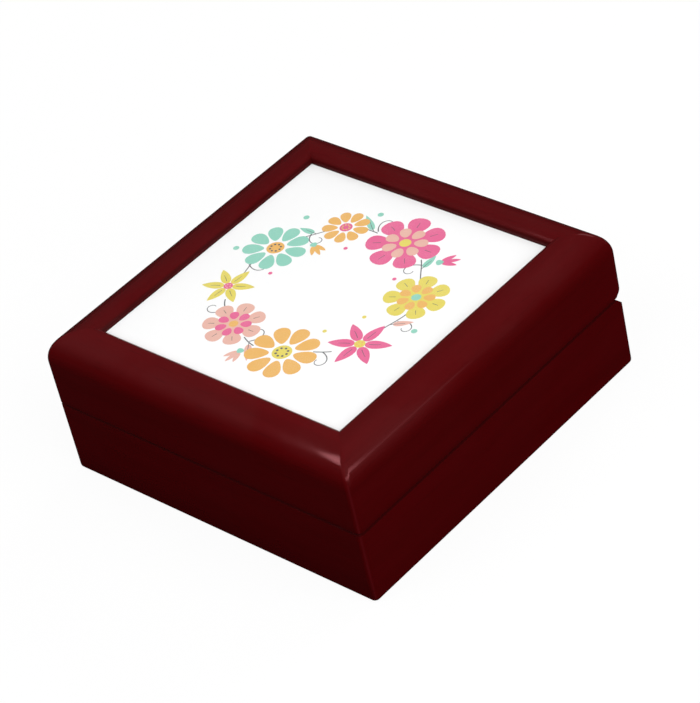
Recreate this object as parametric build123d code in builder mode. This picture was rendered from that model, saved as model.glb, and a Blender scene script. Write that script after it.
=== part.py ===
from build123d import *
from math import radians, tan
import os

os.makedirs("parts", exist_ok=True)

# A square lacquered keepsake box with a ceramic tile let into its hinged lid.
# The origin is the centre of the underside: +X runs right along the front,
# +Y runs to the hinged back, and +Z runs up. All lengths are in millimetres.

# ---------------------------------------------------------------- tile and lid
tile_size = 107.95              # a four and a quarter inch wall tile
tile_thickness = 4.2
tile_gap = 0.225                # between the tile and the frame, each side
tile_recess = 3.0               # tile face below the crest of the frame
tile_edge_radius = 0.5          # round of the glazed edges and corners
pad_thickness = 0.8             # foam pads that hold the tile down
pad_size = 20.0
pad_inset = 10.0                # edge of the tile to the edge of a pad
board_thickness = 3.2           # the board the tile is laid on
board_rebate = 3.0              # ledge in the rails that holds the board's edge

outer_roundover = 10.5          # the frame's large outer quarter round
crest_width = 1.15              # flat along the top of the frame
inner_roundover = 4.0           # small round down to the tile
lid_height = 28.8               # seam to crest

# ----------------------------------------------------------------------- carcase
base_height = 29.6              # underside to seam
wall_thickness = 11.0
corner_radius = 2.0             # upright corners and the ridges of the mitres
foot_radius = 1.5               # round along the bottom outer edge
seam_chamfer = 0.6              # eased outer edges at the seam
rim_radius = 0.5                # eased inner edges at the seam
panel_thickness = 3.2           # the bottom panel
panel_rebate = 3.0              # ledge in the walls that holds the panel
felt_thickness = 1.0            # pad under the bottom panel
panel_gap = 0.1                 # loose fit of a board in its rebate

# ------------------------------------------------------------------------ lining
lining_thickness = 1.5
lining_drop = 2.0               # bare wood between a rim and its lining
lining_gap = 0.1                # loose fit of a lining between two walls

# ------------------------------------------------------------------------ hinges
back_bevel = 4.0                # bevels at the back that stop the open lid
lid_bevel_radius = 2.5          # round from the lid's bevel to its back
base_bevel_radius = 1.5         # round from the base's bevel to its back
axis_overhang = 0.7             # hinge axis behind the flat of the rim
hinge_inset = 31.85             # side of the box to the middle of its hinge
hinge_length = 25.0
leaf_thickness = 0.8
leaf_sink = 0.05                # leaf below the surface of the rim
leaf_margin = 1.5               # wood left between a leaf and the inside
mortise_gap = 0.1               # wood to the edge of a leaf
knuckle_count = 3
knuckle_radius = 1.6
knuckle_gap = 0.2               # between neighbouring knuckles
barrel_gap = 0.2                # wood or leaf to a knuckle that turns past it
pin_radius = 0.75
pin_seat_gap = 0.02             # pin in the knuckles that hold it
pin_running_gap = 0.06          # pin in the knuckle that turns on it

screw_spacing = 15.0
screw_length = 8.0
screw_radius = 0.85
screw_head_sink = 0.1           # head below the face of the leaf
screw_fit = 0.03                # screw in its hole
countersink_angle = 90.0        # the cone runs through the whole leaf

# --------------------------------------------------------------- derived lengths
opening_size = tile_size + 2 * tile_gap
frame_width = outer_roundover + crest_width + inner_roundover
box_size = opening_size + 2 * frame_width
half = box_size / 2
cavity_size = box_size - 2 * wall_thickness
lined_size = cavity_size - 2 * lining_thickness

seam = base_height
lid_top = seam + lid_height
tile_top = lid_top - tile_recess
tile_bottom = tile_top - tile_thickness
board_top = tile_bottom - pad_thickness
board_bottom = board_top - board_thickness
ceiling = board_bottom - lining_thickness

panel_top = felt_thickness + panel_thickness
floor_top = panel_top + lining_thickness

rim_back = half - back_bevel                    # where the flat of the rim ends
axis_y = rim_back + axis_overhang
leaf_reach = wall_thickness - back_bevel - leaf_margin + axis_overhang
knuckle_pitch = hinge_length / knuckle_count
screw_row = (leaf_reach + knuckle_radius) / 2   # axis to the row of screws
head_slope = tan(radians(countersink_angle / 2))
screw_head_radius = screw_radius + leaf_thickness * head_slope
hinge_places = {"left": hinge_inset - half, "right": half - hinge_inset}

LID, BASE = 1, -1                               # away from the seam, up or down
base_knuckles = range(0, knuckle_count, 2)
lid_knuckles = range(1, knuckle_count, 2)


def keep(builder, name):
    builder.part.label = name
    export_step(builder.part, f"parts/{name}.step")


# ---------------------------------------------------------------- hinge geometry
# The leaf plane lies in the seam with its origin on the hinge axis. Its local z
# runs into the wood of one half, and its local y runs to the back.
def leaf_plane(hinge_x, facing):
    return Plane(
        origin=(hinge_x, axis_y, seam),
        x_dir=(facing, 0, 0),
        z_dir=(0, 0, facing),
    )


# A plane across the hinge axis, with its normal along +X.
def barrel_plane(x):
    return Plane(origin=(x, axis_y, seam), x_dir=(0, 1, 0), z_dir=(1, 0, 0))


# The centres of a leaf's screw heads, each with its z out of the wood.
def screw_planes(hinge_x, facing):
    face_z = seam + facing * leaf_sink
    return [
        Plane(
            origin=(hinge_x + step, axis_y - screw_row, face_z),
            x_dir=(1, 0, 0),
            z_dir=(0, 0, -facing),
        )
        for step in (-screw_spacing / 2, screw_spacing / 2)
    ]


# The wood removed for one leaf: its pocket, the round relief for the barrel and
# the holes for its screws.
def hinge_mortise(hinge_x, facing):
    length = hinge_length + 2 * mortise_gap
    reach = leaf_reach + mortise_gap
    with BuildPart() as mortise:
        with BuildSketch(leaf_plane(hinge_x, facing)):
            Rectangle(length, reach, align=(Align.CENTER, Align.MAX))
        extrude(amount=leaf_sink + leaf_thickness)
        with BuildSketch(barrel_plane(hinge_x)):
            Circle(knuckle_radius + barrel_gap)
        extrude(amount=length / 2, both=True)
        with Locations(*screw_planes(hinge_x, facing)):
            Cylinder(
                screw_radius + screw_fit,
                screw_head_sink + screw_length + screw_fit,
                align=(Align.CENTER, Align.CENTER, Align.MAX),
            )
    return mortise.part


# The wedge of air behind one half's bevel, with the bevel's outer edge rounded.
def bevel_cutter(facing, edge_radius):
    overrun = 2 * corner_radius
    edge = (back_bevel, back_bevel)
    side = back_bevel + 2 * edge_radius
    bevel_plane = Plane(
        origin=(0, rim_back, seam), x_dir=(0, 1, 0), z_dir=(facing, 0, 0)
    )
    with BuildPart() as cutter:
        with BuildSketch(bevel_plane) as wedge:
            with BuildLine():
                Polyline(
                    (0, 0),
                    edge,
                    (back_bevel, side),
                    (back_bevel + overrun, side),
                    (back_bevel + overrun, 0),
                    close=True,
                )
            make_face()
            fillet(wedge.vertices().sort_by_distance(edge)[0], edge_radius)
        extrude(amount=half + overrun, both=True)
    return cutter.part


# One side of a mitred ring: the quarter between the two diagonals at that side.
def mitred_side(ring, turn):
    reach = half + corner_radius
    with BuildPart() as side:
        add(ring)
        with BuildSketch(Plane.XY):
            Polygon((0, 0), (-reach, -reach), (reach, -reach), rotation=turn)
        extrude(amount=lid_top, mode=Mode.INTERSECT)
    return side


side_turns = {"front": 0, "right": 90, "back": 180, "left": 270}

# -------------------------------------------------------------------- base walls
# Four mitred boards with a rebate for the bottom panel, eased along the seam,
# bevelled at the back and cut out for the hinges.
with BuildPart() as base_ring:
    with BuildSketch():
        RectangleRounded(box_size, box_size, corner_radius)
        Rectangle(cavity_size, cavity_size, mode=Mode.SUBTRACT)
    extrude(amount=base_height)
    with BuildSketch():
        rebate_size = cavity_size + 2 * panel_rebate
        Rectangle(rebate_size, rebate_size)
    extrude(amount=panel_top, mode=Mode.SUBTRACT)
    bottom_edges = base_ring.faces().sort_by(Axis.Z)[0].outer_wire().edges()
    fillet(bottom_edges, foot_radius)
    rim = base_ring.faces().sort_by(Axis.Z)[-1]
    chamfer(rim.outer_wire().edges(), seam_chamfer)
    rim = base_ring.faces().sort_by(Axis.Z)[-1]
    fillet(rim.inner_wires().edges(), rim_radius)
    add(bevel_cutter(BASE, base_bevel_radius), mode=Mode.SUBTRACT)
    for hinge_x in hinge_places.values():
        add(hinge_mortise(hinge_x, BASE), mode=Mode.SUBTRACT)

for side_name, turn in side_turns.items():
    keep(mitred_side(base_ring.part, turn), f"base_{side_name}_wall")

# --------------------------------------------------------------- floor and lining
with BuildPart() as bottom_panel:
    with BuildSketch(Plane.XY.offset(felt_thickness)):
        panel_size = rebate_size - 2 * panel_gap
        Rectangle(panel_size, panel_size)
    extrude(amount=panel_thickness)
keep(bottom_panel, "base_bottom_panel")

with BuildPart() as underside_felt:
    with BuildSketch():
        Rectangle(panel_size, panel_size)
    extrude(amount=felt_thickness)
keep(underside_felt, "base_underside_felt")

with BuildPart() as floor_lining:
    with BuildSketch(Plane.XY.offset(panel_top)):
        lining_size = cavity_size - 2 * lining_gap
        Rectangle(lining_size, lining_size)
    extrude(amount=lining_thickness)
keep(floor_lining, "base_floor_lining")


# A felt strip on one wall. The front and back strips run the whole width, and
# the left and right strips fit between them.
def lining_strip(side_name, low, high):
    length = lining_size
    if side_name in ("left", "right"):
        length = lined_size - 2 * lining_gap
    wall_plane = Plane.XY.rotated((0, 0, side_turns[side_name])).offset(low)
    with BuildPart() as strip:
        with BuildSketch(wall_plane):
            with Locations((0, -cavity_size / 2)):
                Rectangle(length, lining_thickness, align=(Align.CENTER, Align.MIN))
        extrude(amount=high - low)
    return strip


for side_name in side_turns:
    strip = lining_strip(side_name, floor_top, seam - lining_drop)
    keep(strip, f"base_{side_name}_lining")

# --------------------------------------------------------------------- lid rails
# The moulding of the lid, seen along the front: upright outside, a large round
# over the top, a small round down to the tile, then the ledge for the board.
with BuildPart() as lid_ring:
    with BuildSketch(Plane.YZ):
        with BuildLine():
            outside = Line((-half, seam), (-half, lid_top - outer_roundover))
            over = RadiusArc(
                outside @ 1, (-half + outer_roundover, lid_top), outer_roundover
            )
            crest = Line(over @ 1, (over @ 1) + (crest_width, 0))
            lip_y = -opening_size / 2
            down = RadiusArc(
                crest @ 1, (lip_y, lid_top - inner_roundover), inner_roundover
            )
            Polyline(
                down @ 1,
                (lip_y, board_top),
                (lip_y - board_rebate, board_top),
                (lip_y - board_rebate, board_bottom),
                (-cavity_size / 2, board_bottom),
                (-cavity_size / 2, seam),
                outside @ 0,
            )
        make_face()
    with BuildLine(Plane.XY.offset(seam)) as run:
        Polyline(
            (0, -half),
            (half, -half),
            (half, half),
            (-half, half),
            (-half, -half),
            (0, -half),
        )
    sweep(path=run.line, transition=Transition.RIGHT)
    # The outer corners: each upright edge and the ridge of the mitre above it.
    ridges = lid_ring.edges().filter_by(
        lambda edge: abs(abs((edge @ 0.5).X) - abs((edge @ 0.5).Y)) < 0.01
        and abs((edge @ 0.5).X) > half - outer_roundover / 2
    )
    fillet(ridges, corner_radius)
    rim = lid_ring.faces().sort_by(Axis.Z)[0]
    chamfer(rim.outer_wire().edges(), seam_chamfer)
    rim = lid_ring.faces().sort_by(Axis.Z)[0]
    fillet(rim.inner_wires().edges(), rim_radius)
    add(bevel_cutter(LID, lid_bevel_radius), mode=Mode.SUBTRACT)
    for hinge_x in hinge_places.values():
        add(hinge_mortise(hinge_x, LID), mode=Mode.SUBTRACT)

for side_name, turn in side_turns.items():
    keep(mitred_side(lid_ring.part, turn), f"lid_{side_name}_rail")

# ----------------------------------------------------------- tile and its backing
with BuildPart() as backing_board:
    with BuildSketch(Plane.XY.offset(board_bottom)):
        board_size = opening_size + 2 * (board_rebate - panel_gap)
        Rectangle(board_size, board_size)
    extrude(amount=board_thickness)
keep(backing_board, "tile_backing_board")

with BuildPart() as tile_pads:
    pad_step = tile_size - 2 * pad_inset - pad_size
    with BuildSketch(Plane.XY.offset(board_top)):
        with GridLocations(pad_step, pad_step, 2, 2):
            Rectangle(pad_size, pad_size)
    extrude(amount=pad_thickness)
keep(tile_pads, "tile_pads")

with BuildPart() as tile:
    with BuildSketch(Plane.XY.offset(tile_bottom)):
        Rectangle(tile_size, tile_size)
    extrude(amount=tile_thickness)
    corners = tile.edges().filter_by(Axis.Z)
    fillet(corners + tile.faces().sort_by(Axis.Z)[-1].edges(), tile_edge_radius)
keep(tile, "ceramic_tile")

with BuildPart() as ceiling_lining:
    with BuildSketch(Plane.XY.offset(ceiling)):
        Rectangle(lining_size, lining_size)
    extrude(amount=lining_thickness)
keep(ceiling_lining, "lid_ceiling_lining")

for side_name in side_turns:
    strip = lining_strip(side_name, seam + lining_drop, ceiling)
    keep(strip, f"lid_{side_name}_lining")


# ------------------------------------------------------------------------ hinges
# One leaf with its knuckles rolled around the axis. It is cut away beside the
# other leaf's knuckles, so that the two leaves mesh along the barrel.
def hinge_leaf(hinge_x, facing, own, others, bore_gap):
    first_x = hinge_x - hinge_length / 2
    with BuildPart() as leaf:
        with BuildSketch(leaf_plane(hinge_x, facing).offset(leaf_sink)):
            Rectangle(hinge_length, leaf_reach, align=(Align.CENTER, Align.MAX))
        extrude(amount=leaf_thickness)
        for place in others:
            with BuildSketch(barrel_plane(first_x + place * knuckle_pitch)):
                Circle(knuckle_radius + barrel_gap)
            extrude(amount=knuckle_pitch, mode=Mode.SUBTRACT)
        for place in own:
            start_x = first_x + place * knuckle_pitch + knuckle_gap / 2
            with BuildSketch(barrel_plane(start_x)):
                Circle(knuckle_radius)
            extrude(amount=knuckle_pitch - knuckle_gap)
        with BuildSketch(barrel_plane(hinge_x)):
            Circle(pin_radius + bore_gap)
        extrude(amount=hinge_length, both=True, mode=Mode.SUBTRACT)
        with Locations(*screw_planes(hinge_x, facing)):
            CounterSinkHole(
                screw_radius + screw_fit,
                screw_head_radius + screw_fit,
                depth=2 * leaf_thickness,
                counter_sink_angle=countersink_angle,
            )
    return leaf


# A countersunk screw, drawn head up with the leaf's face at z = 0.
with BuildPart() as screw:
    with BuildSketch(Plane.XZ):
        with BuildLine():
            Polyline(
                (0, -screw_head_sink),
                (screw_head_radius - screw_head_sink * head_slope, -screw_head_sink),
                (screw_radius, -leaf_thickness),
                (screw_radius, -screw_length),
                (0, -screw_length),
                close=True,
            )
        make_face()
    revolve(axis=Axis.Z)

for hinge_name, hinge_x in hinge_places.items():
    base_leaf = hinge_leaf(hinge_x, BASE, base_knuckles, lid_knuckles, pin_seat_gap)
    keep(base_leaf, f"{hinge_name}_hinge_base_leaf")
    lid_leaf = hinge_leaf(hinge_x, LID, lid_knuckles, base_knuckles, pin_running_gap)
    keep(lid_leaf, f"{hinge_name}_hinge_lid_leaf")

    with BuildPart() as pin:
        with BuildSketch(barrel_plane(hinge_x)):
            Circle(pin_radius)
        extrude(amount=hinge_length / 2, both=True)
    keep(pin, f"{hinge_name}_hinge_pin")

    for half_name, facing in (("base", BASE), ("lid", LID)):
        with BuildPart() as screws:
            with Locations(*screw_planes(hinge_x, facing)):
                add(screw.part)
        keep(screws, f"{hinge_name}_hinge_{half_name}_screws")
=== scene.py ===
from math import cos, pi, radians, sin

import bmesh
import bpy
from mathutils import Matrix, Vector, noise


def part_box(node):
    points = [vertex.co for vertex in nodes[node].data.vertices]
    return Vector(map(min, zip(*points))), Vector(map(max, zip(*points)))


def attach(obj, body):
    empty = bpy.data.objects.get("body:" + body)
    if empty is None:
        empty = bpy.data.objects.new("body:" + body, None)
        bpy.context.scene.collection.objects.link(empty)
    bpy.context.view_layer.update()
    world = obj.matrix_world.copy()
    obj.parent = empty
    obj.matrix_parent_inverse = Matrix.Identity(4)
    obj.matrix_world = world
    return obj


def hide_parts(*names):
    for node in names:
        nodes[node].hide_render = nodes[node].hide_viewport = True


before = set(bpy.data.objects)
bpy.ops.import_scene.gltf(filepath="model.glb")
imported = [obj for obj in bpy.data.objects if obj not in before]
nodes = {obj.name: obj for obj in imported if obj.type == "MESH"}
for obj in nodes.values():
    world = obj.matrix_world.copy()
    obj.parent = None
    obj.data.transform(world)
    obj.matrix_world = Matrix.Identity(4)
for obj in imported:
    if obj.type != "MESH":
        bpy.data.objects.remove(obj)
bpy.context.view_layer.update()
scene = bpy.context.scene
mm = 0.001
print("frame loaded with", len(nodes), "nodes")


# small helpers for node trees and meshes

def addNode(tree, kind, feeds=None, **settings):
    # feeds maps a socket's name or number to a value or to the output that drives it
    node = tree.nodes.new("ShaderNode" + kind)
    for key, value in settings.items():
        setattr(node, key, value)
    for key, value in (feeds or {}).items():
        if isinstance(value, bpy.types.NodeSocket):
            tree.links.new(value, node.inputs[key])
        else:
            node.inputs[key].default_value = value
    return node


def calc(tree, operation, *values):
    node = addNode(tree, "Math", dict(enumerate(values)), operation=operation)
    return node.outputs[0]


def blendColours(tree, share, first, second):
    # inputs 6 and 7 and output 2 are the Mix node's colour sockets
    return addNode(tree, "Mix", {0: share, 6: first, 7: second}, data_type="RGBA").outputs[2]


def scaleColour(colour, share, lift=0):
    return tuple(share * part + lift for part in colour[:3]) + (1,)


def remap(tree, value, low, high, toLow=0.0, toHigh=1.0, smooth=False):
    feeds = {"Value": value, "From Min": low, "From Max": high, "To Min": toLow, "To Max": toHigh}
    ease = "SMOOTHSTEP" if smooth else "LINEAR"
    return addNode(tree, "MapRange", feeds, interpolation_type=ease).outputs[0]


def softNoise(tree, vector, scale, detail=2.0, roughness=0.5, distortion=0.0):
    feeds = {"Vector": vector, "Scale": scale, "Detail": detail, "Roughness": roughness,
             "Distortion": distortion}
    return addNode(tree, "TexNoise", feeds).outputs["Fac"]


def cellNoise(tree, vector, scale):
    return addNode(tree, "TexVoronoi", {"Vector": vector, "Scale": scale}).outputs["Distance"]


def newGroup(name, takes, gives):
    group = bpy.data.node_groups.new(name, "ShaderNodeTree")
    for label, value in takes.items():
        kind = "NodeSocketVector" if value is None else "NodeSocketFloat"
        socket = group.interface.new_socket(label, in_out="INPUT", socket_type=kind)
        if value is not None:
            socket.default_value = value
    for label in gives:
        group.interface.new_socket(label, in_out="OUTPUT", socket_type="NodeSocketFloat")
    start = group.nodes.new("NodeGroupInput")
    end = group.nodes.new("NodeGroupOutput")
    return group, start.outputs, end.inputs


def useGroup(tree, group, feeds):
    return addNode(tree, "Group", feeds, node_tree=group).outputs


def newMaterial(name, **shaderValues):
    material = bpy.data.materials.new(name)
    material.use_nodes = True
    tree = material.node_tree
    shader = tree.nodes["Principled BSDF"]
    for label, value in shaderValues.items():
        shader.inputs[label.replace("_", " ")].default_value = value
    spot = addNode(tree, "TexCoord").outputs["Object"]
    return material, tree, shader, spot


def feedShader(tree, shader, **sockets):
    for label, output in sockets.items():
        tree.links.new(output, shader.inputs[label.replace("_", " ")])


def bumpFrom(tree, height, depth):
    return addNode(tree, "Bump", {"Height": height, "Distance": depth}).outputs[0]


def dress(material, *names):
    for name in names:
        for slot in nodes[name].material_slots:
            slot.material = material


def only(kind, parts):
    return [part for part in parts if isinstance(part, kind)]


def copyMoved(bm, shift):
    copied = bmesh.ops.duplicate(bm, geom=bm.verts[:] + bm.edges[:] + bm.faces[:])["geom"]
    bmesh.ops.translate(bm, vec=shift, verts=only(bmesh.types.BMVert, copied))


def placeMesh(name, bm, material):
    mesh = bpy.data.meshes.new(name)
    bm.to_mesh(mesh)
    bm.free()
    mesh.materials.append(material)
    placed = bpy.data.objects.new(name, mesh)
    scene.collection.objects.link(placed)
    return placed


def makeObject(name, bm, material, body):
    bmesh.ops.recalc_face_normals(bm, faces=bm.faces)
    made = placeMesh(name, bm, material)
    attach(made, body)
    return made


# effects that several finishes share

figureLook = {
    "stretch": 0.06,           # less makes longer streaks
    "bendScale": 18.0,
    "bend": 0.004,             # how far the grain wanders, in metres
    "streakRange": (0.3, 0.7),
    "poreRange": (0.62, 0.74),
}


def buildWoodFigure():
    # long soft streaks with short dark pores, running along the vector's X
    look = figureLook
    group, take, give = newGroup(
        "woodFigure", {"Vector": None, "Streaks": 150.0, "Pores": 1400.0}, ["Shade", "Pore"])
    stretched = {0: take["Vector"], 1: (look["stretch"], 1, 1)}
    long = addNode(group, "VectorMath", stretched, operation="MULTIPLY").outputs[0]
    bend = addNode(group, "TexNoise", {"Vector": take["Vector"], "Scale": look["bendScale"], "Detail": 1.0})
    drift = addNode(group, "VectorMath", {0: bend.outputs["Color"], "Scale": look["bend"]}, operation="SCALE")
    wavy = addNode(group, "VectorMath", {0: long, 1: drift.outputs[0]}, operation="ADD").outputs[0]
    streak = softNoise(group, wavy, take["Streaks"], 4.0, 0.6)
    pore = softNoise(group, wavy, take["Pores"])
    group.links.new(remap(group, streak, *look["streakRange"], smooth=True), give["Shade"])
    group.links.new(remap(group, pore, *look["poreRange"], smooth=True), give["Pore"])
    return group


def buildSmears():
    # faint marks of wiping and handling on a polished surface
    group, take, give = newGroup("smears", {"Vector": None, "Scale": 40.0}, ["Smear"])
    broad = softNoise(group, take["Vector"], take["Scale"], 3.0, 0.55, 0.8)
    group.links.new(remap(group, broad, 0.42, 0.68, smooth=True), give["Smear"])
    return group


def buildRipple():
    # the slight unevenness of a coat that flowed out and set
    group, take, give = newGroup("ripple", {"Vector": None, "Scale": 120.0}, ["Height"])
    group.links.new(softNoise(group, take["Vector"], take["Scale"], 1.5, 0.4), give["Height"])
    return group


fibreLook = {
    "turns": (0.2, 2.3, 4.4),  # three lays of hair that cross, in radians
    "tilt": -0.7,
    "length": 4.5,             # times its thickness
    "clumpScale": 130.0,
    "shares": (0.7, 0.45),     # of hairs and of clumps in the shade
}


def buildFibres():
    # crossing hairs of two sizes: shade for the colour, height for the bump
    look = fibreLook
    group, take, give = newGroup("fibres", {"Vector": None, "Scale": 900.0}, ["Shade", "Height"])
    lays = []
    for turn in look["turns"]:
        aim = addNode(group, "Mapping", {"Vector": take["Vector"], "Rotation": (0, look["tilt"], turn),
                                         "Scale": (look["length"], 1, 1)}, vector_type="TEXTURE")
        lays.append(softNoise(group, aim.outputs[0], take["Scale"], 3.0, 0.65, 0.6))
    most = calc(group, "MAXIMUM", calc(group, "MAXIMUM", lays[0], lays[1]), lays[2])
    clump = softNoise(group, take["Vector"], look["clumpScale"])
    group.links.new(remap(group, most, 0.45, 0.8), give["Height"])
    hairShare, clumpShare = look["shares"]
    both = calc(group, "ADD", calc(group, "MULTIPLY", most, hairShare),
                calc(group, "MULTIPLY", clump, clumpShare))
    group.links.new(remap(group, both, 0.45, 0.85), give["Shade"])
    return group


woodFigure = buildWoodFigure()
smears = buildSmears()
ripple = buildRipple()
fibres = buildFibres()
print("shared effects ready")


# lacquered wood: rails and walls

lacquerLook = {
    "deepRed": (0.068, 0.0003, 0.0009, 1),
    "litRed": (0.078, 0.0005, 0.0014, 1),     # where the grain is lighter
    "poreRed": (0.052, 0.0002, 0.0006, 1),
    "poreShare": 0.5,
    "paintedSideLight": {"front": 1.10, "back": 1.06, "left": 0.92, "right": 1.0},    # painted light and shade: each side's red is lifted or lowered as if lit more or less
    "paintedShadeRed": (0.029, 0.0001, 0.0002, 1),    # painted shade in the joint between lid and base, by the tile's edge and towards the foot
    "seamSlack": 0.01 * mm,                   # wood this near the joint still counts as the base's
    "seamBelow": (0.75 * mm, 0.50 * mm),      # where that shade ends and is full on the base's chamfer
    "seamAbove": (2.6 * mm, 0.42),            # how far it fades up the lid, and its share at the joint
    "tileJoint": (55.3 * mm, 54.6 * mm, 0, 0.75),    # how far out from the middle the painted shade by the tile reaches
    "edgeHighlightRed": (0.098, 0.0035, 0.0055, 1),    # painted highlight along the upright corners
    "edgeReach": (68.7 * mm, 69.3 * mm),      # how far out from the middle that starts and is full
    "footShade": {"front": 0.40, "back": 0.20, "left": 0.20, "right": 0.06},    # painted shade, darker near the ground
    "footHeight": 16 * mm,
    "specular": 0.5,
    "tint": (1.0, 0.30, 0.34, 1),             # colour of what the polish mirrors
    "roughness": (0.06, 0.10),                # clean and handled
    "haze": (0.105, 0.235),                   # a rubbed coat over the polish, in soft clouds
    "cloudScale": 26.0,
    "cloudRange": (0.35, 0.65),
    "hazeRoughness": 0.5,
    "rippleDepth": 0.000004,
}


def lacquerMaterial(side, turn):
    look = lacquerLook
    material, tree, shader, spot = newMaterial(
        "lacquer_" + side, Specular_IOR_Level=look["specular"], Specular_Tint=look["tint"],
        Coat_Roughness=look["hazeRoughness"])
    grain = addNode(tree, "Mapping", {"Vector": spot, "Rotation": (0, 0, turn)}).outputs[0]
    figure = useGroup(tree, woodFigure, {"Vector": grain})
    # each side's red scaled as painted light and shade
    deep, lit = (scaleColour(look[name], look["paintedSideLight"][side]) for name in ("deepRed", "litRed"))
    wood = blendColours(tree, figure["Shade"], deep, lit)
    pores = calc(tree, "MULTIPLY", figure["Pore"], look["poreShare"])
    wood = blendColours(tree, pores, wood, look["poreRed"])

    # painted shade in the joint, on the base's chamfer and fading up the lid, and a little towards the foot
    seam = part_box("base_front_wall")[1].z
    height = addNode(tree, "SeparateXYZ", {0: spot}).outputs["Z"]
    below = calc(tree, "SUBTRACT", seam, height)
    onBase = calc(tree, "GREATER_THAN", below, -look["seamSlack"])
    reach, most = look["seamAbove"]
    chamfer = calc(tree, "MULTIPLY", remap(tree, below, *look["seamBelow"], smooth=True), onBase)
    above = calc(tree, "MULTIPLY", remap(tree, below, -reach, 0, 0, most), calc(tree, "SUBTRACT", 1, onBase))
    wood = blendColours(tree, calc(tree, "ADD", chamfer, above), wood, look["paintedShadeRed"])

    # a painted highlight down each upright corner and painted shade where the rails' inner edge meets the
    # tile
    apart = addNode(tree, "VectorMath", {0: spot}, operation="ABSOLUTE").outputs[0]
    apart = addNode(tree, "SeparateXYZ", {0: apart}).outputs
    nearer = calc(tree, "MINIMUM", apart["X"], apart["Y"])
    highlightShare = remap(tree, nearer, *look["edgeReach"], smooth=True)
    wood = blendColours(tree, calc(tree, "MULTIPLY", highlightShare, calc(tree, "SUBTRACT", 1, chamfer)), wood,
                        look["edgeHighlightRed"])
    inside = remap(tree, calc(tree, "MAXIMUM", apart["X"], apart["Y"]), *look["tileJoint"], smooth=True)
    inside = calc(tree, "MULTIPLY", inside, calc(tree, "GREATER_THAN", height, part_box("ceramic_tile")[0].z))
    wood = blendColours(tree, inside, wood, look["paintedShadeRed"])
    # painted shade towards the foot
    foot = remap(tree, height, 0, look["footHeight"], look["footShade"][side], 0, smooth=True)
    wood = blendColours(tree, foot, wood, look["paintedShadeRed"])

    smear = useGroup(tree, smears, {"Vector": spot})["Smear"]
    rough = remap(tree, smear, 0, 1, *look["roughness"])
    cloud = softNoise(tree, spot, look["cloudScale"], distortion=0.6)
    haze = remap(tree, cloud, *look["cloudRange"], *look["haze"], smooth=True)
    haze = calc(tree, "MULTIPLY", haze, calc(tree, "SUBTRACT", 1, chamfer))
    coat = useGroup(tree, ripple, {"Vector": spot})["Height"]
    feedShader(tree, shader, Base_Color=wood, Roughness=rough, Coat_Weight=haze,
               Normal=bumpFrom(tree, coat, look["rippleDepth"]))
    return material


sides = ("front", "back", "left", "right")
for side in sides:
    turn = 0 if side in ("front", "back") else pi / 2
    dress(lacquerMaterial(side, turn), f"base_{side}_wall", f"lid_{side}_rail")
print("lacquer on the walls and rails")


# tile

glazeLook = {
    "white": (0.93, 0.93, 0.93, 1),
    "bisque": (0.72, 0.63, 0.52, 1),
    "roughness": 0.06,
    "bisqueRoughness": 0.85,
    "glazeFoot": 0.6 * mm,      # the glaze stops this far above the back of the tile
    "glazeFade": 0.4 * mm,
    "rippleScale": 70.0,
    "rippleDepth": 0.000006,
}


def glazeMaterial():
    look = glazeLook
    material, tree, shader, spot = newMaterial("tileGlaze")
    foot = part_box("ceramic_tile")[0].z + look["glazeFoot"]
    height = addNode(tree, "SeparateXYZ", {0: spot}).outputs["Z"]
    glazed = remap(tree, height, foot, foot + look["glazeFade"])
    body = blendColours(tree, glazed, look["bisque"], look["white"])
    rough = remap(tree, glazed, 0, 1, look["bisqueRoughness"], look["roughness"])
    coat = useGroup(tree, ripple, {"Vector": spot, "Scale": look["rippleScale"]})["Height"]
    feedShader(tree, shader, Base_Color=body, Roughness=rough,
               Normal=bumpFrom(tree, coat, look["rippleDepth"]))
    return material


dress(glazeMaterial(), "ceramic_tile")
print("tile glazed")


# print under the glaze: a wreath of blooms in flat inks

printLook = {
    "inks": {
        "pink": (0.76, 0.148, 0.305, 1),
        "mint": (0.285, 0.62, 0.50, 1),
        "orange": (0.80, 0.455, 0.14, 1),
        "yellow": (0.75, 0.64, 0.135, 1),
        "salmon": (0.775, 0.455, 0.38, 1),
        "grey": (0.13, 0.13, 0.14, 1),
    },
    "thin": 0.1,                # how much nearer to white the ink is where less of it lies
    "grainScale": 2200.0,       # of the fine specks in the ink
    "cloudScale": 140.0,        # of the patches where they show
    "sink": 0.1 * mm,           # how deep the film of ink goes into the glaze
    "layer": 0.012 * mm,        # height of one layer of ink
    "ring": 34.0 * mm,          # radius of the wreath
    "bloom": 1.14 * mm,         # size of the blooms, times their number in the list
    "line": 0.42 * mm,          # width of the thin lines
    "fineLine": 0.55,           # width of the lines on petals, as a share of the others
    "lineSteps": 26,
    "lineTaper": 0.4,           # share of the width that a line loses towards its end
    "roundSteps": 20,           # sides of a dot or a petal
}

# shapes of different ink that overlap never share a layer
layers = {
    "vine": 1, "tendril": 1.5, "leaf": 2, "vein": 2.5, "petal": 3, "disc": 3.5, "middle": 4, "raised": 5,
    "cup": 5.2, "top": 6,
}


def inkMaterial(name, colour):
    look = printLook
    material, tree, shader, spot = newMaterial("ink_" + name, Roughness=glazeLook["roughness"])
    grain = softNoise(tree, spot, look["grainScale"])
    cloud = softNoise(tree, spot, look["cloudScale"])
    thin = scaleColour(colour, 1 - look["thin"], look["thin"])
    share = calc(tree, "MULTIPLY", remap(tree, grain, 0.4, 0.7), remap(tree, cloud, 0.3, 0.7))
    coat = useGroup(tree, ripple, {"Vector": spot, "Scale": glazeLook["rippleScale"]})["Height"]
    feedShader(tree, shader, Base_Color=blendColours(tree, share, colour, thin),
               Normal=bumpFrom(tree, coat, glazeLook["rippleDepth"]))
    return material


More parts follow.
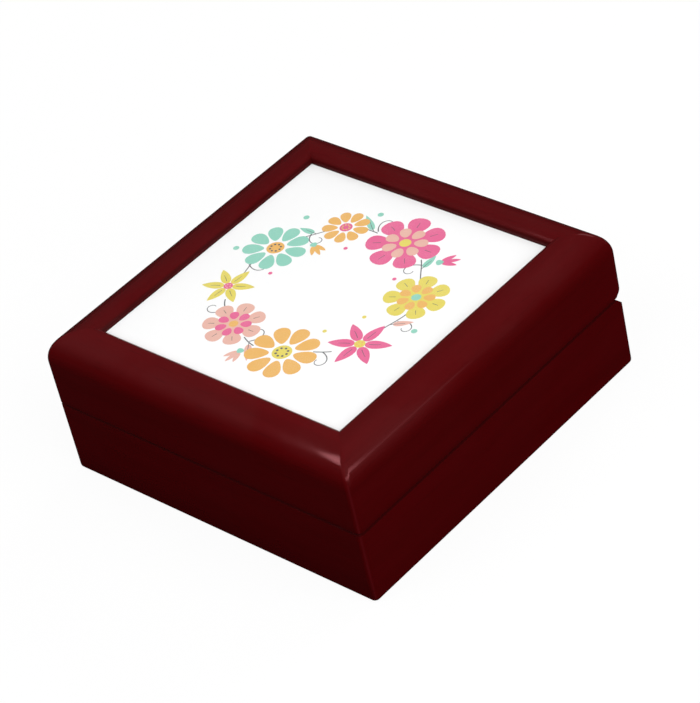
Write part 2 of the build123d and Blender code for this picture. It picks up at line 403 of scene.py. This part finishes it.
class Print:
    # one mesh for each ink: shapes are drawn flat, turned and moved, and get their thickness at the end
    def __init__(self):
        self.sheets = {name: bmesh.new() for name in printLook["inks"]}

    def put(self, ink, made, place, turn, layer):
        bm = self.sheets[ink]
        bmesh.ops.rotate(bm, matrix=Matrix.Rotation(turn, 3, "Z"), verts=made)
        bmesh.ops.translate(bm, vec=(place[0], place[1], layer * printLook["layer"]), verts=made)

    def disc(self, ink, radius):
        bm, steps = self.sheets[ink], printLook["roundSteps"]
        return bmesh.ops.create_circle(bm, segments=steps, radius=radius, cap_ends=True)["verts"]

    def blade(self, ink, place, turn, length, width, reach, layer, lean=0.0, point=0.0):
        # a petal or leaf that starts reach away from place and grows towards turn
        # lean widens it towards the tip, and point narrows it to a sharp tip
        made = self.disc(ink, 1)
        for vert in made:
            along, across = (vert.co.x + 1) / 2, vert.co.y
            across *= 1 + lean * (2 * along - 1)
            across *= max(1 - along, 0) ** point
            vert.co = (reach + along * length, across * width / 2, 0)
        self.put(ink, made, place, turn, layer)

    def dot(self, ink, place, radius, layer):
        self.put(ink, self.disc(ink, radius), place, 0, layer)

    def stroke(self, ink, place, turn, length, curl, width, layer):
        # a thin line that starts straight and curls up more and more
        bm = self.sheets[ink]
        made = [bm.verts.new((0, -width / 2, 0)), bm.verts.new((0, width / 2, 0))]
        end, steps = bm.edges.new(made), printLook["lineSteps"]
        heading, tip = 0.0, Vector((0, 0, 0))
        for step in range(steps):
            share = (step + 1) / steps
            heading += curl * 2 * share / steps
            tip = tip + Vector((cos(heading), sin(heading), 0)) * length / steps
            half = Vector((-sin(heading), cos(heading), 0)) * width / 2 * (1 - printLook["lineTaper"] * share)
            grown = bmesh.ops.extrude_edge_only(bm, edges=[end])["geom"]
            pair = only(bmesh.types.BMVert, grown)
            end = bm.edges.get(pair)
            if (pair[1].co - pair[0].co).dot(half) < 0:
                pair.reverse()
            pair[0].co, pair[1].co = tip - half, tip + half
            made += pair
        self.put(ink, made, place, turn, layer)


def around(radius, degrees):
    return Vector((radius * cos(radians(degrees)), radius * sin(radians(degrees)), 0))


# the four dictionaries below give lengths and widths as shares of the flower's size, and turns in radians
daisyLook = {
    "petals": 9, "turn": 0.2, "length": 0.66, "width": 0.43, "reach": 0.34, "lean": 0.35,
    "heart": 0.27,
    "dots": 8, "dotRing": 0.16, "dot": 0.035,
}


def daisy(page, place, size, petals, heart, dots):
    look = daisyLook
    count = look["petals"]
    for i in range(count):
        turn = 2 * pi * i / count + look["turn"]
        page.blade(petals, place, turn, size * look["length"], size * look["width"], size * look["reach"],
                   layers["petal"], lean=look["lean"])
    page.dot(heart, place, size * look["heart"], layers["petal"])
    for i in range(look["dots"]):
        page.dot(dots, place + around(size * look["dotRing"], 360 / look["dots"] * i), size * look["dot"],
                 layers["middle"])


doubleLook = {
    "petals": 7,
    "outer": (0.62, 0.55, 0.38), "outerLean": 0.3,    # length, width and distance from the middle
    "inner": (0.36, 0.29, 0.22), "innerLean": 0.2,
    "disc": 0.42, "heart": 0.15,
    "lineStart": 0.62, "lineLength": 0.2, "lineCurl": 0.1,
}


def doubleBloom(page, place, size, outer, inner, heart):
    look = doubleLook
    count = look["petals"]
    for i in range(count):
        page.blade(outer, place, 2 * pi * i / count, *(size * part for part in look["outer"]),
                   layers["petal"], lean=look["outerLean"])
    page.dot(outer, place, size * look["disc"], layers["disc"])
    for i in range(count):
        page.blade(inner, place, 2 * pi * (i + 0.5) / count, *(size * part for part in look["inner"]),
                   layers["middle"], lean=look["innerLean"])
    page.dot(heart, place, size * look["heart"], layers["middle"])
    for i in range(count):
        page.stroke("grey", place + around(size * look["lineStart"], 360 * i / count), 2 * pi * i / count,
                    size * look["lineLength"], look["lineCurl"], printLook["line"] * printLook["fineLine"],
                    layers["middle"])


starLook = {
    "petals": 6, "turn": 0.4, "length": 0.84, "width": 0.46, "reach": 0.16, "point": 0.4,
    "lineStart": 0.3, "lineLength": 0.36, "lineCurl": 0.15,
    "heart": 0.17,
    "dots": 5, "dotRing": 0.09, "dot": 0.03,
}


def starBloom(page, place, size, petals, heart, dots):
    look = starLook
    for i in range(look["petals"]):
        turn = 2 * pi * i / look["petals"] + look["turn"]
        page.blade(petals, place, turn, size * look["length"], size * look["width"], size * look["reach"],
                   layers["petal"], point=look["point"])
        start = place + Vector((cos(turn), sin(turn), 0)) * size * look["lineStart"]
        page.stroke("grey", start, turn, size * look["lineLength"], look["lineCurl"],
                    printLook["line"] * printLook["fineLine"], layers["middle"])
    page.dot(heart, place, size * look["heart"], layers["raised"])
    for i in range(look["dots"]):
        page.dot(dots, place + around(size * look["dotRing"], 360 / look["dots"] * i), size * look["dot"],
                 layers["top"])


budLook = {
    "petals": ((-0.42, 0.86, 4.4), (0.42, 0.86, 4.6), (0, 1, 4.8)),    # turn, length and layer of each
    "width": 0.34, "reach": 0.18, "point": 0.25,
    "cup": 0.42, "cupBack": 0.14, "cupLean": -0.3,
}


def bud(page, place, turn, size, petals, cup):
    look = budLook
    for swing, long, layer in look["petals"]:
        page.blade(petals, place, turn + swing, size * long, size * look["width"], size * look["reach"],
                   layer, point=look["point"])
    page.blade(cup, place, turn, size * look["cup"], size * look["cup"], -size * look["cupBack"],
               layers["cup"], lean=look["cupLean"])


bloomKinds = {"daisy": daisy, "double": doubleBloom, "star": starBloom}

blooms = [
    # kind, degrees round the ring, share of the ring's radius, size in mm, petals and the inks on them
    ("double", 76, 1.00, 12.5, ("pink", "salmon", "yellow")),
    ("daisy", 119, 1.02, 7.6, ("orange", "pink", "yellow")),
    ("daisy", 163, 0.98, 10.5, ("mint", "orange", "grey")),
    ("star", 204, 1.04, 8.6, ("yellow", "pink", "salmon")),
    ("double", 241, 0.98, 9.8, ("salmon", "pink", "orange")),
    ("daisy", 286, 1.00, 11.5, ("orange", "yellow", "grey")),
    ("star", 331, 1.02, 10.0, ("pink", "yellow", "orange")),
    ("double", 20, 0.98, 10.2, ("yellow", "orange", "mint")),
]

buds = [
    # degrees round the ring, share of the ring's radius, degrees it grows towards, size, petals and cup
    (49, 1.16, 40, 6.5 * mm, ("pink", "mint")),
    (264, 1.14, 262, 6.0 * mm, ("salmon", "mint")),
    (140, 0.80, -30, 6.0 * mm, ("orange", "mint")),
]

tendrils = [
    # degrees round the ring, and 1 on its outside or -1 on its inside
    (50, -1), (98, 1), (139, -1), (183, -1), (224, 1), (262, -1), (310, 1), (357, 1),
]

vineLook = {
    "waves": 7, "wave": 0.03,          # how often it swings, and how far as a share of the ring's radius
    "segments": 240,
    "underBloom": 2.5 * mm,            # how far it runs in under the edge of a bloom
    "tendril": 13 * mm, "tendrilCurl": 4.6, "tendrilTurn": 0.6,
}
leafLook = {
    "count": 40, "step": 9, "start": 2,        # the places where leaves and berries may be, in degrees
    "length": (8.0, 1.4, 2.4),                 # its middle and its swing in mm, and radians between leaves
    "width": 3.4 * mm, "stalk": 0.8 * mm, "point": 0.5,
    "splay": 0.8,                              # radians between the leaf and the vine
    "room": 0.4 * mm,                          # left free around the blooms
    "veinLength": 0.7, "veinCurl": 0.15, "veinWidth": 0.6,
    "inks": ("mint", "mint", "yellow", "mint", "salmon"),
}
berryLook = {
    "out": (9.2, 2, 1.7),                      # the same for the distance from the ring
    "ahead": 3,                                # degrees in front of the leaf
    "size": (0.75, 0.35),                      # radius of the small ones in mm, and what the large ones add
    "room": 2.2 * mm,
    "inks": ("pink", "orange", "yellow", "mint"),
}


def vineSwing(turn):
    return 1 + vineLook["wave"] * sin(vineLook["waves"] * turn)


def drawVine(page, free):
    # a thin ring that waves between the blooms
    look, ring = vineLook, printLook["ring"]
    bm = page.sheets["grey"]
    vine = bmesh.ops.create_circle(bm, segments=look["segments"], radius=ring, cap_ends=False)["verts"]
    for vert in vine:
        turn = Vector((1, 0, 0)).angle(vert.co) * (1 if vert.co.y > 0 else -1)
        vert.co *= vineSwing(turn)
    hidden = [vert for vert in vine if not free(vert.co, -look["underBloom"])]
    bmesh.ops.delete(bm, geom=hidden, context="VERTS")
    inner = bmesh.ops.extrude_edge_only(bm, edges=bm.edges[:])["geom"]
    share = 1 - printLook["line"] / ring
    bmesh.ops.scale(bm, vec=(share, share, 1), verts=only(bmesh.types.BMVert, inner))
    for vert in bm.verts:
        vert.co.z = layers["vine"] * printLook["layer"]


def drawWreath():
    page = Print()
    ring, line = printLook["ring"], printLook["line"]
    spots = [(around(ring * out, degrees), size * printLook["bloom"]) for _, degrees, out, size, _ in blooms]
    budSpots = []
    for degrees, out, turn, size, _ in buds:
        budSpots.append((around(ring * out, degrees) + around(size / 2, turn), size / 2))

    def free(place, room, taken=spots):
        return all((place - middle).length > size + room for middle, size in taken)

    drawVine(page, free)

    # leaves and berries where there is room, then the tendrils
    for i in range(leafLook["count"]):
        degrees = leafLook["step"] * i + leafLook["start"]
        side = 1 if i % 2 else -1
        root = around(ring * vineSwing(radians(degrees)), degrees)
        turn = radians(degrees + 90) - side * leafLook["splay"]
        middle, swing, pace = leafLook["length"]
        length = (middle + swing * sin(pace * i)) * mm
        if free(root, leafLook["room"]):
            ink = leafLook["inks"][i % len(leafLook["inks"])]
            page.blade(ink, root, turn, length, leafLook["width"], leafLook["stalk"], layers["leaf"],
                       point=leafLook["point"])
            page.stroke("grey", root, turn, length * leafLook["veinLength"], -leafLook["veinCurl"] * side,
                        line * leafLook["veinWidth"], layers["vein"])
        middle, swing, pace = berryLook["out"]
        berry = around(ring + side * (middle + swing * sin(pace * i)) * mm, degrees + berryLook["ahead"])
        if free(berry, berryLook["room"], spots + budSpots):
            small, more = berryLook["size"]
            ink = berryLook["inks"][i % len(berryLook["inks"])]
            page.dot(ink, berry, (small + more * (i % 2)) * mm, layers["raised"])
    for degrees, side in tendrils:
        turn = radians(degrees) + (vineLook["tendrilTurn"] if side > 0 else pi - vineLook["tendrilTurn"])
        page.stroke("grey", around(ring, degrees), turn, vineLook["tendril"], -vineLook["tendrilCurl"] * side,
                    line, layers["tendril"])

    for (place, size), (kind, *_, inks) in zip(spots, blooms):
        bloomKinds[kind](page, place, size, *inks)
    for degrees, out, turn, size, inks in buds:
        bud(page, around(ring * out, degrees), radians(turn), size, *inks)
    return page


def buildPrint():
    look = printLook
    page = drawWreath()
    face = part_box("ceramic_tile")[1].z
    for name, bm in page.sheets.items():
        bmesh.ops.solidify(bm, geom=bm.faces[:], thickness=look["sink"])
        bmesh.ops.translate(bm, vec=(0, 0, face), verts=bm.verts)
        piece = makeObject("print_" + name, bm, inkMaterial(name, look["inks"][name]), "lid")


buildPrint()
print("wreath printed on the tile")


# board under the tile and under the base

boardLook = {
    "dark": (0.16, 0.085, 0.04, 1),
    "light": (0.34, 0.21, 0.12, 1),
    "dust": (0.50, 0.38, 0.25, 1),     # pale chips of fibre
    "hairScale": 420.0,
    "chipScale": 900.0,
    "chipRange": (0.16, 0.05),
    "pressing": 0.00008,               # depth of the pressed surface
}


def boardMaterial():
    look = boardLook
    material, tree, shader, spot = newMaterial("fibreBoard", Roughness=0.78, Specular_IOR_Level=0.3)
    hair = useGroup(tree, fibres, {"Vector": spot, "Scale": look["hairScale"]})
    base = blendColours(tree, hair["Shade"], look["dark"], look["light"])
    chips = cellNoise(tree, spot, look["chipScale"])
    base = blendColours(tree, remap(tree, chips, *look["chipRange"]), base, look["dust"])
    feedShader(tree, shader, Base_Color=base, Normal=bumpFrom(tree, hair["Height"], look["pressing"]))
    return material


dress(boardMaterial(), "tile_backing_board", "base_bottom_panel")
print("boards done")


# felt lining and the felt underneath

feltLook = {
    "dark": (0.008, 0.008, 0.009, 1),
    "light": (0.040, 0.040, 0.044, 1),
    "lint": (0.16, 0.16, 0.17, 1),
    "lintScale": 260.0,
    "lintRange": (0.10, 0.04),
    "nap": 0.0004,             # depth of the fibres
    "cell": 2.5 * mm,          # spacing of the points that carry the unevenness
    "edgeRound": 0.4 * mm,
    "unevenness": 0.16 * mm,
    "waves": 160.0,            # unevenness repeats about this often in a metre
}


def feltMaterial():
    look = feltLook
    material, tree, shader, spot = newMaterial(
        "blackFelt", Roughness=0.92, Specular_IOR_Level=0.15, Sheen_Weight=0.35, Sheen_Roughness=0.45)
    hair = useGroup(tree, fibres, {"Vector": spot})
    wool = blendColours(tree, hair["Shade"], look["dark"], look["light"])
    specks = cellNoise(tree, spot, look["lintScale"])
    wool = blendColours(tree, remap(tree, specks, *look["lintRange"]), wool, look["lint"])
    feedShader(tree, shader, Base_Color=wool, Normal=bumpFrom(tree, hair["Height"], look["nap"]))
    return material


def softBlock(low, high, cell, edgeRound):
    # a block with rounded edges, divided finely enough to be shaped
    size = high - low
    bm = bmesh.new()
    bmesh.ops.create_cube(bm, size=1)
    bmesh.ops.scale(bm, vec=size, verts=bm.verts)
    bmesh.ops.translate(bm, vec=(low + high) / 2, verts=bm.verts)
    bmesh.ops.bevel(bm, geom=bm.edges[:], affect="EDGES", offset=edgeRound, segments=3, profile=0.5,
                    material=-1)
    for axis in range(3):
        cuts = int(size[axis] / cell) - 1
        if cuts > 0:
            lengths = {edge: abs((edge.verts[1].co - edge.verts[0].co)[axis]) for edge in bm.edges}
            run = [edge for edge, length in lengths.items() if length > size[axis] / 2]
            bmesh.ops.subdivide_edges(bm, edges=run, cuts=cuts, use_grid_fill=True)
    for face in bm.faces:
        face.smooth = True
    return bm


def buildFelt(node, body, freeSide):
    # freeSide points away from what the felt is glued to
    look = feltLook
    low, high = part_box(node)
    bm = softBlock(low, high, look["cell"], look["edgeRound"])
    across = max(range(3), key=lambda axis: abs(freeSide[axis]))
    middle = (low[across] + high[across]) / 2
    for vert in bm.verts:
        if (vert.co[across] - middle) * freeSide[across] > 0:
            wave = 0.5 + 0.5 * noise.noise(vert.co * look["waves"])
            vert.co[across] -= freeSide[across] * wave * look["unevenness"]
    piece = makeObject(node + "_cloth", bm, felt, body)
    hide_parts(node)


felt = feltMaterial()
inward = {"front": (0, 1, 0), "back": (0, -1, 0), "left": (1, 0, 0), "right": (-1, 0, 0)}
for side in sides:
    buildFelt(f"base_{side}_lining", "base", inward[side])
    buildFelt(f"lid_{side}_lining", "lid", inward[side])
buildFelt("base_floor_lining", "base", (0, 0, 1))
buildFelt("base_underside_felt", "base", (0, 0, -1))
buildFelt("lid_ceiling_lining", "lid", (0, 0, -1))
print("felt laid and glued")


# foam pads between the board and the tile

padLook = {
    "foam": (0.75, 0.75, 0.73, 1),
    "cellShade": (0.50, 0.50, 0.48, 1),
    "bubbleScale": 2600.0,
    "bubbleDepth": 0.00015,
    "side": 20 * mm,
    "cell": 1.25 * mm,         # spacing of its points
    "edgeRound": 0.3 * mm,
    "fill": 0.3,
}


def buildPads():
    look = padLook
    material, tree, shader, spot = newMaterial("padFoam", Roughness=0.85, Specular_IOR_Level=0.25)
    bubbles = cellNoise(tree, spot, look["bubbleScale"])
    colour = blendColours(tree, remap(tree, bubbles, 0.1, 0.6), look["cellShade"], look["foam"])
    feedShader(tree, shader, Base_Color=colour, Normal=bumpFrom(tree, bubbles, look["bubbleDepth"]))
    low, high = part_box("tile_pads")
    corner = Vector((low.x + look["side"], low.y + look["side"], high.z))
    bm = softBlock(low, corner, look["cell"], look["edgeRound"])
    for axis in range(2):
        shift = Vector((0, 0, 0))
        shift[axis] = high[axis] - low[axis] - look["side"]
        copyMoved(bm, shift)
    piece = makeObject("tile_foam_pads", bm, material, "lid")
    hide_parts("tile_pads")


buildPads()
print("foam pads in place")


# brass: hinge leaves, pins and screws

brassLook = {
    "bright": (0.78, 0.60, 0.30, 1),
    "dull": (0.58, 0.42, 0.19, 1),
    "spot": (0.30, 0.20, 0.10, 1),       # specks of tarnish
    "spotScale": 1500.0,
    "spotRange": (0.68, 0.80),
    "spotShare": 0.15,
    "roughness": (0.26, 0.32),
    "smearScale": 160.0,
    "lineScale": 6000.0,                 # fine lines along the hinges
    "lineStretch": 0.03,
    "lineRoughness": 0.02,
    "lineDepth": 0.0000003,
}


def brassMaterial():
    look = brassLook
    material, tree, shader, spot = newMaterial("brass", Metallic=1.0)
    drawn = addNode(tree, "Mapping", {"Vector": spot, "Scale": (look["lineStretch"], 1, 1)}).outputs[0]
    lines = softNoise(tree, drawn, look["lineScale"])
    flecks = softNoise(tree, spot, look["spotScale"], 3.0)
    smear = useGroup(tree, smears, {"Vector": spot, "Scale": look["smearScale"]})["Smear"]
    tarnish = remap(tree, flecks, *look["spotRange"], 0, look["spotShare"])
    metal = blendColours(tree, smear, look["bright"], look["dull"])
    metal = blendColours(tree, tarnish, metal, look["spot"])
    rough = calc(tree, "ADD", remap(tree, smear, 0, 1, *look["roughness"]),
                 calc(tree, "MULTIPLY", lines, look["lineRoughness"]))
    feedShader(tree, shader, Base_Color=metal, Roughness=rough,
               Normal=bumpFrom(tree, lines, look["lineDepth"]))
    return material


brass = brassMaterial()
hands = ("left", "right")
for hand in hands:
    dress(brass, f"{hand}_hinge_base_leaf", f"{hand}_hinge_lid_leaf", f"{hand}_hinge_pin")

screwLook = {
    "headRadius": 1.62 * mm,
    "flat": 0.8,                  # share of the head that is flat
    "dome": 0.06 * mm,            # how far the rim lies below the middle
    "rim": 0.08 * mm,
    "neckRadius": 0.84 * mm,
    "coreRadius": 0.62 * mm,
    "threadRadius": 0.84 * mm,
    "threadStart": 2.4 * mm,
    "pitch": 0.75 * mm,
    "toothHalf": 0.3,             # half of the thread's thickness, as a share of the pitch
    "toothRoot": 0.9,             # how deep it is rooted, as a share of the core's radius
    "neckEnd": 0.6,               # where the neck has narrowed to the core, in pitches
    "point": 1.2 * mm,            # length of the taper at the end
    "tipRadius": 0.15 * mm,
    "crossReach": 0.95 * mm,
    "crossWidth": 0.46 * mm,
    "crossDepth": 0.55 * mm,
    "crossTaper": 0.6,            # size of the recess's floor, as a share of its mouth
    "turnSteps": 16,
}


def openEdges(edges):
    return [edge for edge in edges if edge.is_boundary]


def screwShape(length):
    # head upwards, with the middle of its head at the origin
    look = screwLook
    radius, reach, arm = look["headRadius"], look["crossReach"], look["crossWidth"] / 2
    bm = bmesh.new()
    bmesh.ops.create_grid(bm, x_segments=3, y_segments=3, size=1)
    for vert in bm.verts:
        for axis in range(2):
            far = reach if abs(vert.co[axis]) > 0.5 else arm
            vert.co[axis] = far if vert.co[axis] > 0 else -far
    bmesh.ops.bisect_edges(bm, edges=openEdges(bm.edges), cuts=1)
    ring = bmesh.ops.extrude_edge_only(bm, edges=openEdges(bm.edges))["geom"]
    for vert in only(bmesh.types.BMVert, ring):
        vert.co = vert.co.normalized() * radius * look["flat"]

    # the cross recess narrows towards its floor
    middles = {face: face.calc_center_median() for face in bm.faces}
    cross = [face for face, at in middles.items()
             if min(abs(at.x), abs(at.y)) < arm / 2 and at.length < reach]
    sunk = bmesh.ops.extrude_face_region(bm, geom=cross)["geom"]
    bmesh.ops.delete(bm, geom=cross, context="FACES")
    bottom = only(bmesh.types.BMVert, sunk)
    bmesh.ops.translate(bm, vec=(0, 0, -look["crossDepth"]), verts=bottom)
    bmesh.ops.scale(bm, vec=(look["crossTaper"], look["crossTaper"], 1), verts=bottom)

    # rim, countersunk cone, shank and point
    rimHeight = -look["dome"] - look["rim"]
    outline = [
        (radius, -look["dome"]),
        (radius, rimHeight),
        (look["neckRadius"], rimHeight - radius + look["neckRadius"]),
        (look["neckRadius"], -look["threadStart"] + look["pitch"]),
        (look["coreRadius"], -look["threadStart"] + look["neckEnd"] * look["pitch"]),
        (look["coreRadius"], look["point"] - length),
        (look["tipRadius"], -length),
    ]
    wide, height = radius * look["flat"], 0
    for nextWide, nextHeight in outline:
        edges = openEdges(only(bmesh.types.BMEdge, ring))
        ring = bmesh.ops.extrude_edge_only(bm, edges=edges)["geom"]
        moved = only(bmesh.types.BMVert, ring)
        share = nextWide / wide
        bmesh.ops.scale(bm, vec=(share, share, 1), verts=moved)
        bmesh.ops.translate(bm, vec=(0, 0, nextHeight - height), verts=moved)
        wide, height = nextWide, nextHeight
    bmesh.ops.contextual_create(bm, geom=openEdges(only(bmesh.types.BMEdge, ring)))

    # the thread: one tooth carried round and down
    pitch, steps, start = look["pitch"], look["turnSteps"], -look["threadStart"]
    root, half = look["toothRoot"] * look["coreRadius"], look["toothHalf"] * pitch
    tooth = bmesh.ops.create_circle(bm, segments=3, radius=1, cap_ends=True)["verts"]
    corners = ((root, start + half), (look["threadRadius"], start), (root, start - half))
    for vert, (out, up) in zip(tooth, corners):
        vert.co = (out, 0, up)
    face = tooth[0].link_faces[0]
    count = int((length - look["threadStart"] - look["point"]) / pitch * steps)
    bmesh.ops.spin(bm, geom=tooth + face.edges[:] + [face], axis=(0, 0, 1), cent=(0, 0, 0),
                   dvec=(0, 0, -pitch / steps), angle=2 * pi * count / steps, steps=count)
    return bm


def buildScrews(node, body, headDown):
    # two screws in one node, one at each end of its box
    low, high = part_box(node)
    half = (high.y - low.y) / 2
    bm = screwShape(high.z - low.z)
    if headDown:
        bmesh.ops.rotate(bm, matrix=Matrix.Rotation(pi, 3, "X"), verts=bm.verts)
    bmesh.ops.translate(bm, vec=(low.x + half, low.y + half, low.z if headDown else high.z), verts=bm.verts)
    copyMoved(bm, (high.x - low.x - 2 * half, 0, 0))
    piece = makeObject(node + "_detailed", bm, brass, body)
    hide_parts(node)


for hand in hands:
    buildScrews(f"{hand}_hinge_base_screws", "base", False)
    buildScrews(f"{hand}_hinge_lid_screws", "lid", True)
print("hinges and screws in brass")


# studio: floor, background, lamps and camera

studio = {
    "skyZenith": 0.15,         # grey light from above, falling to the next value at the horizon
    "skyHorizon": 0.0,
    "polishShare": 0.012,      # share of the white background that polished surfaces show
    "floorSize": 6.0,
    "floorDrop": 0.02 * mm,    # keeps the floor clear of the box's underside
    "floorWhite": (0.95, 0.95, 0.95, 1),
    "floorBounce": (0.01, 0.01, 0.01, 1),
    "shadowLeft": 0.08,        # share of the box's shadow that the white floor keeps
    "mat": (0.12, 0.40),       # radius where the floor starts and ends turning plain white
}


def seenRays(tree):
    # rays that see the white background in full, and rays that only mirror it
    path = addNode(tree, "LightPath").outputs
    return calc(tree, "MAXIMUM", path["Is Camera Ray"], path["Is Transmission Ray"]), path["Is Glossy Ray"]


def buildFloor():
    material = bpy.data.materials.new("floor")
    material.use_nodes = True
    tree = material.node_tree
    tree.nodes.clear()
    seen, mirrored = seenRays(tree)
    spot = addNode(tree, "TexCoord").outputs["Object"]
    away = addNode(tree, "VectorMath", {0: spot}, operation="LENGTH").outputs["Value"]
    far = remap(tree, away, *studio["mat"], smooth=True)
    direct = calc(tree, "MULTIPLY", seen, remap(tree, far, 0, 1, 1 - studio["shadowLeft"], 1))
    polish = calc(tree, "MULTIPLY", mirrored, calc(tree, "MULTIPLY", far, studio["polishShare"]))
    share = calc(tree, "ADD", direct, polish)
    colour = blendColours(tree, seen, studio["floorBounce"], studio["floorWhite"])
    paint = addNode(tree, "BsdfDiffuse", {"Color": colour}).outputs[0]
    white = addNode(tree, "Emission", {"Color": (1, 1, 1, 1), "Strength": 1.0}).outputs[0]
    both = addNode(tree, "MixShader", {0: share, 1: paint, 2: white}).outputs[0]
    addNode(tree, "OutputMaterial", {"Surface": both})
    bm = bmesh.new()
    bmesh.ops.create_grid(bm, x_segments=1, y_segments=1, size=studio["floorSize"] / 2)
    bmesh.ops.translate(bm, vec=(0, 0, -studio["floorDrop"]), verts=bm.verts)
    placeMesh("floor", bm, material)


def buildSky():
    world = bpy.data.worlds.new("studioSky")
    scene.world = world
    world.use_nodes = True
    tree = world.node_tree
    tree.nodes.clear()
    seen, mirrored = seenRays(tree)
    share = calc(tree, "MAXIMUM", seen, calc(tree, "MULTIPLY", mirrored, studio["polishShare"]))
    up = addNode(tree, "SeparateXYZ", {0: addNode(tree, "TexCoord").outputs["Generated"]}).outputs["Z"]
    glow = remap(tree, up, 0, 1, studio["skyHorizon"], studio["skyZenith"])
    grey = addNode(tree, "Background", {"Color": (1, 1, 1, 1), "Strength": glow}).outputs[0]
    white = addNode(tree, "Background", {"Color": (1, 1, 1, 1), "Strength": 1.0}).outputs[0]
    both = addNode(tree, "MixShader", {0: share, 1: grey, 2: white}).outputs[0]
    addNode(tree, "OutputWorld", {"Surface": both})


def towards(azimuth, elevation):
    across, up = radians(azimuth), radians(elevation)
    return Vector((sin(across) * cos(up), -cos(across) * cos(up), sin(up)))


lamps = {
    # where it hangs, what it faces, width, height, brightness, and whether it lights or is only mirrored
    "overhead": ((0.0, -0.05, 1.25), (0, 0, 0.05), 0.9, 0.9, 0.55, "light"),
    "rightSoftbox": ((0.90, -0.08, 0.68), (0, 0, 0.05), 1.0, 1.0, 3.3, "light"),
    "frontSoftbox": ((-0.08, -0.76, 0.86), (0, 0, 0.05), 1.0, 0.8, 2.5, "light"),
    "leftSoftbox": ((-1.02, -0.06, 0.42), (0, 0, 0.05), 0.8, 0.8, 1.8, "light"),
    "leftCard": ((-1.02, -0.06, 0.42), (0, 0, 0.05), 0.8, 0.8, 0.45, "reflection"),
    "backSoftbox": ((0.05, 1.00, 0.50), (0, 0, 0.05), 1.0, 0.6, 3.4, "light"),
    "backStrip": ((0.05, 0.88, 0.82), (0, 0, 0.05), 0.7, 0.2, 1.5, "reflection"),
    "cornerStrip": ((-0.465, -0.468, 0.661), (-0.473, 0.099, -0.038), 0.034, 0.50, 6.6, "reflection"),
    "cornerSoftbox": ((0.700, -0.598, 0.430), (0.068, -0.068, 0.053), 0.8, 0.22, 2.0, "reflection"),
    "sideBar": ((0.90, 0.10, 0.390), (0.068, 0.10, 0.053), 0.70, 0.22, 3.4, "reflection"),
    "sideStrip": ((0.90, 0.495, 0.345), (0.068, 0.0, 0.053), 0.10, 0.09, 0.35, "reflection"),
}


def hangLamps():
    for name, (place, faced, width, height, brightness, use) in lamps.items():
        lamp = bpy.data.lights.new(name, "AREA")
        lamp.shape = "RECTANGLE"
        lamp.size, lamp.size_y = width, height
        lamp.energy = brightness * pi * width * height
        stand = bpy.data.objects.new(name, lamp)
        scene.collection.objects.link(stand)
        out = Vector(place) - Vector(faced)
        stand.matrix_world = Matrix.Translation(place) @ out.to_track_quat("Z", "Y").to_matrix().to_4x4()
        stand.visible_camera = False
        stand.visible_glossy = use == "reflection"
        stand.visible_diffuse = use == "light"


camera = {
    "azimuth": 49.324, "elevation": 37.547, "roll": -13.534,
    "distance": 1.07947, "sideways": -0.001846, "upward": 0.021746,
    "lens": 158.26, "sensor": 36.0, "clip": (0.01, 20),
}


def setCamera():
    back = towards(camera["azimuth"], camera["elevation"])
    level = Vector((cos(radians(camera["azimuth"])), sin(radians(camera["azimuth"])), 0))
    roll = Matrix.Rotation(radians(camera["roll"]), 3, back)
    right = roll @ level
    up = roll @ back.cross(level)
    place = back * camera["distance"] + right * camera["sideways"] + up * camera["upward"]
    lens = bpy.data.cameras.new("camera")
    lens.lens, lens.sensor_width = camera["lens"], camera["sensor"]
    lens.clip_start, lens.clip_end = camera["clip"]
    stand = bpy.data.objects.new("camera", lens)
    scene.collection.objects.link(stand)
    turn = Matrix((right, up, back)).transposed().to_4x4()
    stand.matrix_world = Matrix.Translation(place) @ turn
    scene.camera = stand


buildFloor()
buildSky()
hangLamps()
setCamera()
scene.view_settings.view_transform = "Standard"
print("studio ready")
